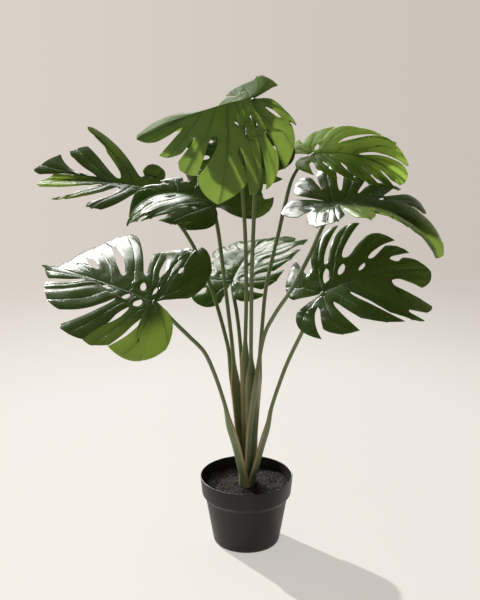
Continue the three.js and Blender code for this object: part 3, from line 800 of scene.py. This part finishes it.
def even_places(curve, count):
    """Evenly spaced places on a curve, each with its direction and its distance from the foot."""
    distances = lengths_along(curve)
    places, at = [], 0
    for i in range(count + 1):
        target = distances[-1] * i / count
        while at < len(curve) - 2 and distances[at + 1] < target:
            at += 1
        share = (target - distances[at]) / (distances[at + 1] - distances[at])
        before, after = curve[max(at - 1, 0)], curve[min(at + 2, len(curve) - 1)]
        places.append((curve[at].lerp(curve[at + 1], share), (after - before).normalized(), target))
    return places


def make_stalk(name, leaf, skin):
    """One tube along the stalk, wide where it is a sheath and round above it."""
    end = leaf_matrix(leaf) @ Vector((0, 4, -0.9))
    places = even_places(centripetal([*map(Vector, leaf["stalk"]), end], 24), STALK_RINGS)
    length = places[-1][2]
    outward = Vector((leaf["junction"][0], leaf["junction"][1], 0)).normalized()
    inside = SHEATH_INSIDE.get(name, 0)
    sheath = leaf["sheath"]
    piece = add_grid(STALK_RINGS, STALK_SIDES)
    piece.name = name + "_stalk"
    mesh = piece.data
    fields = new_fields(mesh, ("along_mm", "around", "margin"))
    for vertex in mesh.vertices:
        ring, side = grid_place(vertex, STALK_RINGS, STALK_SIDES)
        turn = 2 * math.pi * side / STALK_SIDES
        center, tangent, along = places[ring]
        across = outward.cross(tangent).normalized()
        radial = across.cross(tangent)
        bare = eased((center.z - sheath["top"] + SHEATH_FADE) / (2 * SHEATH_FADE))
        radius = STALK_RADIUS + STALK_HEAD * eased(1 - (length - along) / STALK_HEAD_LENGTH)
        width = lerp(sheath["width"], radius, bare)
        depth = lerp(sheath["depth"], radius, bare)
        x, z = math.cos(turn), math.sin(turn)
        if z > 0:
            z *= lerp(inside, 1, bare)
        wing = eased((abs(x) - 0.8) / 0.2) * (1 - bare)
        margin = eased((abs(x) - 0.74) / 0.14) * (1 - bare)
        x *= 1 + SHEATH_WING * wing / width
        fields["along_mm"][vertex.index].value = along
        fields["around"][vertex.index].value = turn / (2 * math.pi)
        fields["margin"][vertex.index].value = margin
        vertex.co = (center + across * x * width + radial * z * depth) * MM
    edit_all(piece)
    bpy.ops.mesh.remove_doubles(threshold=0.01 * MM)
    close_ends()
    leave_edit()
    piece.data.materials.append(skin)
    bpy.ops.object.shade_smooth_by_angle(angle=math.radians(45))
    declare(piece, "leaf_" + name + "_stalk")


# ---- pot and soil ----

def turned_up(name, rings, segments):
    """A round body drawn up ring by ring from a circle, each ring a (radius, height)."""
    deselect_all()
    radius, height = rings[0]
    bpy.ops.mesh.primitive_circle_add(
        vertices=segments, radius=radius * MM, location=(0, 0, height * MM), fill_type="NOTHING"
    )
    piece = bpy.context.object
    piece.name = name
    bpy.ops.object.transform_apply(location=True, rotation=True, scale=True)
    edit_all(piece)
    for next_radius, next_height in rings[1:]:
        bpy.ops.mesh.extrude_region_move(
            TRANSFORM_OT_translate={"value": (0, 0, (next_height - height) * MM)}
        )
        share = next_radius / radius
        bpy.ops.transform.resize(
            value=(share, share, 1), center_override=(0, 0, next_height * MM)
        )
        radius, height = next_radius, next_height
    close_ends()
    leave_edit()
    return piece


def make_pot(plastic):
    """A slender wall drawn up the outside, over the rounded rim and down the inside."""
    profile = [
        (POLE_RADIUS, 0), (POT_FOOT_RADIUS, 0), (60, 1.6), (62.3, 4.5),
        POT_HEEL, POT_WAIST, POT_BAND_FOOT,
        (POT_RIM_RADIUS, POT_HEIGHT - 1.2), (POT_RIM_RADIUS - 0.35, POT_HEIGHT - 0.35),
        (POT_RIM_RADIUS - 1.2, POT_HEIGHT), (POT_RIM_RADIUS - POT_WALL, POT_HEIGHT - 1.2),
    ]
    for radius, height in (POT_BAND_FOOT, POT_WAIST, POT_HEEL):
        profile.append((radius - POT_WALL, height))
    profile += [(POT_FOOT_RADIUS, POT_FLOOR), (POLE_RADIUS, POT_FLOOR)]
    piece = turned_up("pot_shell", profile, POT_SEGMENTS)
    bevel = piece.modifiers.new("edges", "BEVEL")
    bevel.width = POT_EDGE_RADIUS * MM
    bevel.segments = 3
    bevel.limit_method = "ANGLE"
    bevel.angle_limit = math.radians(18)
    piece.data.materials.append(plastic)
    apply_modifiers(piece)
    bpy.ops.object.shade_smooth_by_angle(angle=math.radians(30))
    declare(piece, "pot")


def mound_at(radius):
    """How much the soil is heaped up around the stalks."""
    return SOIL_MOUND * (1 - eased((radius - 25) / 30))


def ripple(x, y, height, size, layer):
    return height * noise.noise(Vector((x, y, layer)) / size)


def make_crumbs(edge):
    """Small stones and crumbs of all sizes, strewn over the soil."""
    draw = random.Random("soil")
    deselect_all()
    bpy.ops.mesh.primitive_ico_sphere_add(subdivisions=1, radius=MM)
    crumb = bpy.context.object
    crumbs = []
    for _ in range(CRUMBS):
        turn, radius = draw.uniform(0, 2 * math.pi), edge * math.sqrt(draw.uniform(0.02, 0.96))
        size = 0.6 + 1.3 * draw.random() ** 2.5
        copy = crumb.copy()
        copy.data = crumb.data.copy()
        bpy.context.collection.objects.link(copy)
        place = Vector((radius * math.cos(turn), radius * math.sin(turn), 0))
        place.z = SOIL_HEIGHT + mound_at(radius) + ripple(place.x, place.y, *SOIL_RIPPLES[0])
        spin = Matrix.Rotation(draw.uniform(0, 6.28), 4, Vector((draw.random(), 1, draw.random())))
        stretch = Matrix.Diagonal((size, size * draw.uniform(0.6, 1), size * draw.uniform(0.5, 0.9), 1))
        copy.data.transform(Matrix.Translation(place * MM) @ spin @ stretch)
        crumbs.append(copy)
    bpy.data.objects.remove(crumb)
    return crumbs


def make_soil(earth):
    """A filling with an uneven top, as wide as the inside of the band at its height."""
    band_share = (SOIL_HEIGHT - POT_BAND_FOOT[1]) / (POT_HEIGHT - POT_BAND_FOOT[1])
    edge = lerp(POT_BAND_FOOT[0], POT_RIM_RADIUS, band_share) - POT_WALL - 0.4
    profile = [(POLE_RADIUS, 60), (66, 60), (73, 90), (80, 102), (edge, SOIL_HEIGHT - 0.6)]
    for i in range(1, SOIL_RINGS + 1):
        profile.append((lerp(edge, 1.5, i / SOIL_RINGS), SOIL_HEIGHT))
    piece = turned_up("potting_soil", profile, SOIL_SEGMENTS)
    for vertex in piece.data.vertices:
        x, y, z = (value / MM for value in vertex.co)
        if z < SOIL_HEIGHT - 1:
            continue
        height = mound_at(math.hypot(x, y))
        for ripples in SOIL_RIPPLES:
            height += ripple(x, y, *ripples)
        vertex.co.z += (height - 0.3) * MM
    join_into(piece, make_crumbs(edge))
    piece.data.materials.append(earth)
    bpy.ops.object.shade_smooth_by_angle(angle=math.radians(40))
    declare(piece, "soil")


# ---- building materials from nodes ----

def node(tree, kind, values=None, **settings):
    """Adds a node, sets its properties, and sets its sockets that "values" names."""
    made = tree.nodes.new("ShaderNode" + kind)
    for name, value in settings.items():
        setattr(made, name, value)
    for socket, value in (values or {}).items():
        made.inputs[socket].default_value = value
    return made


def link(tree, source, target):
    tree.links.new(source, target)


def put(tree, value, socket):
    """Sets a socket to a number or a colour, or links another socket to it."""
    if isinstance(value, (int, float, tuple)):
        socket.default_value = value
    else:
        link(tree, value, socket)


def new_group(name, inputs, outputs):
    """A shader node group: each input is (name, type, value), each output (name, type)."""
    tree = bpy.data.node_groups.new(name, "ShaderNodeTree")
    for label, kind, value in inputs:
        socket = tree.interface.new_socket(name=label, in_out="INPUT", socket_type=kind)
        socket.default_value = value
    for label, kind in outputs:
        tree.interface.new_socket(name=label, in_out="OUTPUT", socket_type=kind)
    return tree, tree.nodes.new("NodeGroupInput"), tree.nodes.new("NodeGroupOutput")


def placed_group(tree, group, values=None):
    made = node(tree, "Group", node_tree=group)
    for socket, value in (values or {}).items():
        made.inputs[socket].default_value = value
    return made


def new_material(name):
    material = bpy.data.materials.new(name)
    material.use_nodes = True
    tree = material.node_tree
    tree.nodes.clear()
    return material, tree, tree.nodes.new("ShaderNodeOutputMaterial")


def attribute(tree, name):
    return node(tree, "Attribute", attribute_name=name).outputs["Fac"]


def mapped(tree, source, low, high, to_low=0.0, to_high=1.0):
    """Turns low … high into to_low … to_high, softly and no further."""
    values = {"From Min": low, "From Max": high, "To Min": to_low, "To Max": to_high}
    made = node(tree, "MapRange", values, interpolation_type="SMOOTHSTEP", clamp=True)
    link(tree, source, made.inputs["Value"])
    return made.outputs["Result"]


def math_node(tree, operation, first, second=None):
    made = node(tree, "Math", operation=operation)
    put(tree, first, made.inputs[0])
    if second is not None:
        put(tree, second, made.inputs[1])
    return made.outputs[0]


def times(tree, first, second):
    return math_node(tree, "MULTIPLY", first, second)


def mixed(tree, share, first, second):
    """Mixes two colours, each given as a colour or as a socket."""
    made = node(tree, "Mix", data_type="RGBA", blend_type="MIX")
    put(tree, share, made.inputs[0])
    put(tree, first, made.inputs[6])
    put(tree, second, made.inputs[7])
    return made.outputs[2]


def mixed_shader(tree, share, first, second):
    made = node(tree, "MixShader")
    link(tree, share, made.inputs["Fac"])
    link(tree, first, made.inputs[1])
    link(tree, second, made.inputs[2])
    return made.outputs["Shader"]


def color(red, green, blue):
    return (red, green, blue, 1)


def skin_shader(tree, base, level, roughness, height, bump_strength, bump_depth_mm):
    """The opaque surface of a material, with the small relief that "height" gives."""
    skin = node(tree, "BsdfPrincipled")
    put(tree, base, skin.inputs["Base Color"])
    put(tree, level, skin.inputs["Specular IOR Level"])
    put(tree, roughness, skin.inputs["Roughness"])
    bump = node(tree, "Bump", {"Strength": bump_strength, "Distance": bump_depth_mm * MM})
    link(tree, height, bump.inputs["Height"])
    link(tree, bump.outputs["Normal"], skin.inputs["Normal"])
    return skin


# ---- effects that several materials use ----

def mottle_group():
    """Cloudy variation from 0 to 1 at a given size, with finer variation over it."""
    tree, inside, outside = new_group(
        "mottle",
        [("Scale", "NodeSocketFloat", 20.0), ("Fine", "NodeSocketFloat", 0.3)],
        [("Value", "NodeSocketFloat")],
    )
    place = node(tree, "TexCoord").outputs["Object"]
    broad = node(tree, "TexNoise", {"Detail": 3.0, "Roughness": 0.55})
    link(tree, place, broad.inputs["Vector"])
    link(tree, inside.outputs["Scale"], broad.inputs["Scale"])
    fine = node(tree, "TexNoise", {"Detail": 2.0})
    link(tree, place, fine.inputs["Vector"])
    link(tree, times(tree, inside.outputs["Scale"], 9.0), fine.inputs["Scale"])
    both = node(tree, "Mix", data_type="FLOAT")
    link(tree, inside.outputs["Fine"], both.inputs[0])
    link(tree, broad.outputs["Fac"], both.inputs[2])
    link(tree, fine.outputs["Fac"], both.inputs[3])
    link(tree, mapped(tree, both.outputs[0], 0.3, 0.7), outside.inputs["Value"])
    return tree


def vein_masks(tree):
    """Masks of the leaf's drawing: the midrib and the lobes' veins, and the fine veins' branches."""
    vein, rib = attribute(tree, "vein_mm"), attribute(tree, "rib_mm")
    run = attribute(tree, "run_mm")
    midrib = mapped(tree, rib, 1.0, 2.6, 1.0, 0.0)
    width = mapped(tree, run, 0.0, 150.0, 1.7, 0.7)
    side_vein = mapped(tree, math_node(tree, "DIVIDE", vein, width), 0.35, 1.0, 1.0, 0.0)
    slant = math_node(tree, "SUBTRACT", run, times(tree, vein, 1.25))
    wave = math_node(tree, "SINE", times(tree, slant, 2 * math.pi / 9.0))
    fade = mapped(tree, vein, 1.0, 14.0, 1.0, 0.25)
    branches = times(tree, mapped(tree, wave, 0.72, 1.0), fade)
    return math_node(tree, "MAXIMUM", midrib, side_vein), branches


def vein_group():
    """The same masks as a group, for the colour and the relief of every leaf skin."""
    labels = ("Lines", "Branches")
    tree, _, outside = new_group("leaf_veins", [], [(label, "NodeSocketFloat") for label in labels])
    for label, mask in zip(labels, vein_masks(tree)):
        link(tree, mask, outside.inputs[label])
    return tree


MOTTLE = mottle_group()
VEINS = vein_group()


# ---- the plant's and the pot's own materials ----

LIGHT_THROUGH = color(0.82, 0.99, 0.38)
VEIN_THROUGH = color(0.1, 0.2, 0.02)

# The skins of a leaf's upper face and of its underside: the colours of its darker and lighter
# clouds and of its veins, the share of the surface that lets light through, and the roughness.
LEAF_SKINS = {
    "newest": (
        ((0.065, 0.105, 0.05), (0.12, 0.17, 0.09), (0.17, 0.22, 0.11), 0.25, 0.32),
        ((0.06, 0.1, 0.04), (0.08, 0.13, 0.05), (0.16, 0.22, 0.08), 0.27, 0.5),
    ),
    "young": (
        ((0.012, 0.04, 0.004), (0.035, 0.08, 0.01), (0.12, 0.17, 0.05), 0.38, 0.32),
        ((0.06, 0.1, 0.03), (0.08, 0.13, 0.04), (0.16, 0.22, 0.08), 0.38, 0.5),
    ),
    "old": (
        ((0.007, 0.028, 0.003), (0.022, 0.062, 0.007), (0.12, 0.17, 0.06), 0.045, 0.25),
        ((0.035, 0.065, 0.018), (0.055, 0.095, 0.025), (0.13, 0.18, 0.07), 0.07, 0.5),
    ),
}
LEAF_AGES = {"top": "newest", "upper_right": "young"}  # all others are old


def leaf_tissue(tree, veins, deep, light, vein_color):
    """Cloudy green with paler veins, branches and margin."""
    broad = placed_group(tree, MOTTLE, {"Scale": 14.0, "Fine": 0.3})
    tissue = mixed(tree, broad.outputs["Value"], color(*deep), color(*light))
    margin = mapped(tree, attribute(tree, "edge_mm"), 0.0, 1.2, 0.5, 0.0)
    branches = times(tree, veins.outputs["Branches"], 0.35)
    lines = times(tree, veins.outputs["Lines"], 0.8)
    for mask in (margin, branches, lines):
        tissue = mixed(tree, mask, tissue, color(*vein_color))
    return tissue


def light_through(tree):
    """The light that shines through a leaf, darker at its veins."""
    lines, branches = vein_masks(tree)
    tint = mixed(tree, times(tree, lines, 0.6), LIGHT_THROUGH, VEIN_THROUGH)
    tint = mixed(tree, times(tree, times(tree, branches, 0.35), 0.5), tint, VEIN_THROUGH)
    sun_through = node(tree, "BsdfTranslucent")
    link(tree, tint, sun_through.inputs["Color"])
    return sun_through.outputs["BSDF"]


def leaf_material(name, deep, light, vein_color, through_share, roughness):
    """Leaf tissue: glossy or matt skin that also lets light through."""
    material, tree, output = new_material(name)
    veins = placed_group(tree, VEINS)
    tissue = leaf_tissue(tree, veins, deep, light, vein_color)
    grain = placed_group(tree, MOTTLE, {"Scale": 160.0, "Fine": 0.5}).outputs["Value"]
    gloss = times(tree, attribute(tree, "shine"), 0.22)
    rough = mapped(tree, grain, 0.0, 1.0, roughness - 0.05, roughness + 0.07)
    height = times(tree, veins.outputs["Branches"], -0.5)
    height = math_node(tree, "SUBTRACT", height, veins.outputs["Lines"])
    height = math_node(tree, "ADD", height, times(tree, grain, 0.3))
    skin = skin_shader(tree, tissue, gloss, rough, height, 0.5, 0.4)
    skin.inputs["IOR"].default_value = 1.45
    # Inside the leaf nearly all the light goes on, so that it leaves through the other face.
    inside = node(tree, "NewGeometry").outputs["Backfacing"]
    # Painted sunlight: the lobes that the sun lights let more light through.
    share = math_node(tree, "ADD", times(tree, attribute(tree, "sun_through"), 0.36), through_share)
    share = math_node(tree, "MAXIMUM", share, times(tree, inside, 0.97))
    both = mixed_shader(tree, share, skin.outputs["BSDF"], light_through(tree))
    link(tree, both, output.inputs["Surface"])
    return material


def stalk_material():
    """Green with paler streaks along the stalk, and dry tan margins on the sheath."""
    material, tree, output = new_material("stalk_skin")
    cloud = placed_group(tree, MOTTLE, {"Scale": 22.0, "Fine": 0.25}).outputs["Value"]
    around, along = attribute(tree, "around"), attribute(tree, "along_mm")
    place = node(tree, "CombineXYZ")
    link(tree, times(tree, around, 26.0), place.inputs["X"])
    link(tree, times(tree, along, 0.02), place.inputs["Y"])
    streak = node(tree, "TexNoise", {"Scale": 1.0, "Detail": 2.0})
    link(tree, place.outputs["Vector"], streak.inputs["Vector"])
    streaks = mapped(tree, streak.outputs["Fac"], 0.35, 0.7)
    lower = mapped(tree, along, 40.0, 330.0, 0.5, 0.0)
    green = mixed(tree, cloud, color(0.14, 0.185, 0.065), color(0.21, 0.255, 0.1))
    green = mixed(tree, times(tree, streaks, 0.4), green, color(0.28, 0.31, 0.14))
    green = mixed(tree, lower, green, color(0.18, 0.26, 0.12))
    husk = mixed(tree, cloud, color(0.34, 0.27, 0.12), color(0.46, 0.38, 0.19))
    base = mixed(tree, attribute(tree, "margin"), green, husk)
    rough = mapped(tree, streaks, 0.0, 1.0, 0.42, 0.55)
    skin = skin_shader(tree, base, 0.4, rough, streaks, 0.5, 0.4)
    link(tree, skin.outputs["BSDF"], output.inputs["Surface"])
    return material


def pot_material():
    """Near-black moulded plastic with a fine grain."""
    material, tree, output = new_material("pot_plastic")
    cloud = placed_group(tree, MOTTLE, {"Scale": 12.0, "Fine": 0.2}).outputs["Value"]
    grain = placed_group(tree, MOTTLE, {"Scale": 700.0, "Fine": 0.5}).outputs["Value"]
    base = mixed(tree, cloud, color(0.0095, 0.0085, 0.0075), color(0.015, 0.0135, 0.012))
    rough = mapped(tree, cloud, 0.0, 1.0, 0.38, 0.48)
    skin = skin_shader(tree, base, 0.32, rough, grain, 0.25, 0.2)
    link(tree, skin.outputs["BSDF"], output.inputs["Surface"])
    return material


def soil_material():
    """Dark grains with a few paler specks."""
    material, tree, output = new_material("soil_grains")
    cloud = placed_group(tree, MOTTLE, {"Scale": 60.0, "Fine": 0.4}).outputs["Value"]
    grains = node(tree, "TexVoronoi", {"Scale": 420.0})
    link(tree, node(tree, "TexCoord").outputs["Object"], grains.inputs["Vector"])
    grain_value = node(tree, "SeparateColor")
    link(tree, grains.outputs["Color"], grain_value.inputs["Color"])
    specks = mapped(tree, grain_value.outputs["Red"], 0.86, 0.97)
    base = mixed(tree, cloud, color(0.007, 0.0065, 0.006), color(0.028, 0.025, 0.022))
    base = mixed(tree, times(tree, specks, 0.6), base, color(0.13, 0.11, 0.09))
    skin = skin_shader(tree, base, 0.06, 0.9, grains.outputs["Distance"], 0.8, 1.0)
    link(tree, skin.outputs["BSDF"], output.inputs["Surface"])
    return material


# ---- the plant in its pot ----

leaf_skins = {}
for age, (upper, under) in LEAF_SKINS.items():
    leaf_skins[age] = (
        leaf_material(age + "_leaf_upper", *upper), leaf_material(age + "_leaf_under", *under),
    )
stalk_skin = stalk_material()
make_pot(pot_material())
make_soil(soil_material())
for leaf_name, leaf_table in LEAVES.items():
    make_blade(leaf_name, leaf_table, leaf_skins[LEAF_AGES.get(leaf_name, "old")])
    make_stalk(leaf_name, leaf_table, stalk_skin)


# ---- floor, light and camera, in metres ----

FLOOR_RADIUS = 2.6
SUN_PLACE = (-1.8, 2.0, 1.3)
SUN_WAY = (0.598, -0.676, -0.43)
CAMERA_PLACE = (-0.0124, -2.445, 1.298)
CAMERA_DOWN = 18.4  # degrees
CAMERA_LENS = 85
CAMERA_SENSOR = 36


def floor_material():
    """Pale paper with a painted glow of light on it, weaker to the right as painted shade, that fades
    out far away.
    """
    material, tree, output = new_material("floor_paper")
    place = node(tree, "TexCoord").outputs["Object"]
    away = node(tree, "VectorMath", operation="LENGTH")
    link(tree, place, away.inputs[0])
    sides = node(tree, "SeparateXYZ")
    link(tree, place, sides.inputs["Vector"])
    paper = node(tree, "BsdfDiffuse", {"Color": color(0.385, 0.375, 0.367)})
    # Painted light: the paper glows, and less so to the right as painted shade.
    painted_glow = node(tree, "Emission", {"Color": color(0.53, 0.505, 0.47)})
    link(tree, mapped(tree, sides.outputs["X"], -0.3, 0.7, 1.0, 0.86), painted_glow.inputs["Strength"])
    lit = node(tree, "AddShader")
    link(tree, paper.outputs["BSDF"], lit.inputs[0])
    link(tree, painted_glow.outputs["Emission"], lit.inputs[1])
    gone = node(tree, "BsdfTransparent").outputs["BSDF"]
    fade = mapped(tree, away.outputs["Value"], 0.75, 1.9)
    link(tree, mixed_shader(tree, fade, lit.outputs["Shader"], gone), output.inputs["Surface"])
    return material


def make_floor():
    deselect_all()
    bpy.ops.mesh.primitive_circle_add(vertices=96, radius=FLOOR_RADIUS, fill_type="NGON")
    floor = bpy.context.object
    floor.name = "studio_floor"
    floor.data.materials.append(floor_material())


def make_world():
    """A plain backdrop for the camera, darkened to the right as painted shade, and a soft fill that is
    stronger from behind.
    """
    world = bpy.data.worlds.new("studio")
    bpy.context.scene.world = world
    world.use_nodes = True
    tree = world.node_tree
    tree.nodes.clear()
    output = tree.nodes.new("ShaderNodeOutputWorld")
    seen = node(tree, "Background", {"Color": color(0.687, 0.624, 0.565)})
    fill = node(tree, "Background", {"Color": color(1.0, 0.97, 0.94)})
    facing = node(tree, "SeparateXYZ")
    link(tree, node(tree, "TexCoord").outputs["Generated"], facing.inputs["Vector"])
    # Painted shade: the backdrop that the camera sees is darker to the right.
    link(tree, mapped(tree, facing.outputs["X"], -0.2, 0.2, 1.02, 0.87), seen.inputs["Strength"])
    side = times(tree, facing.outputs["X"], -0.1)
    rear = math_node(tree, "ADD", side, times(tree, facing.outputs["Y"], 0.17))
    link(tree, math_node(tree, "ADD", rear, 0.23), fill.inputs["Strength"])
    to_camera = node(tree, "LightPath").outputs["Is Camera Ray"]
    both = mixed_shader(tree, to_camera, fill.outputs["Background"], seen.outputs["Background"])
    link(tree, both, output.inputs["Surface"])


def add_light(name, kind, place, towards, strength, tint, **settings):
    data = bpy.data.lights.new(name, kind)
    data.energy = strength
    data.color = tint
    for key, value in settings.items():
        setattr(data, key, value)
    lamp = bpy.data.objects.new(name, data)
    bpy.context.scene.collection.objects.link(lamp)
    lamp.location = place
    direction = Vector(towards) - Vector(place)
    lamp.rotation_euler = direction.to_track_quat("-Z", "Y").to_euler()
    return lamp


def make_lights():
    """A low sun from behind, a window that only shows as a sheen, and a weak front light."""
    sun_towards = [place + way for place, way in zip(SUN_PLACE, SUN_WAY)]
    add_light(
        "low_sun", "SUN", SUN_PLACE, sun_towards, 5.3, (1.0, 0.98, 0.95), angle=math.radians(1.4),
    )
    window = add_light(
        "rear_window", "AREA", (-0.99, 2.46, 2.0), (0, 0, 0.6), 260.0, (1.0, 0.99, 0.97),
        shape="RECTANGLE", size=1.9, size_y=1.7,
    )
    window.visible_camera = False
    window.visible_diffuse = False
    window.visible_transmission = False
    add_light(
        "front_softbox", "AREA", (-1.6, -2.2, 1.6), (0, 0, 0.5), 9.0, (1.0, 0.98, 0.95),
        shape="RECTANGLE", size=1.6, size_y=1.6,
    )


def make_camera():
    data = bpy.data.cameras.new("camera")
    data.lens = CAMERA_LENS
    data.sensor_width = CAMERA_SENSOR
    camera = bpy.data.objects.new("camera", data)
    bpy.context.scene.collection.objects.link(camera)
    camera.location = CAMERA_PLACE
    camera.rotation_euler = (math.radians(90 - CAMERA_DOWN), 0, 0)
    bpy.context.scene.camera = camera


make_floor()
make_world()
make_lights()
make_camera()
bpy.context.scene.view_settings.view_transform = "Standard"
bpy.context.scene.view_settings.look = "None"
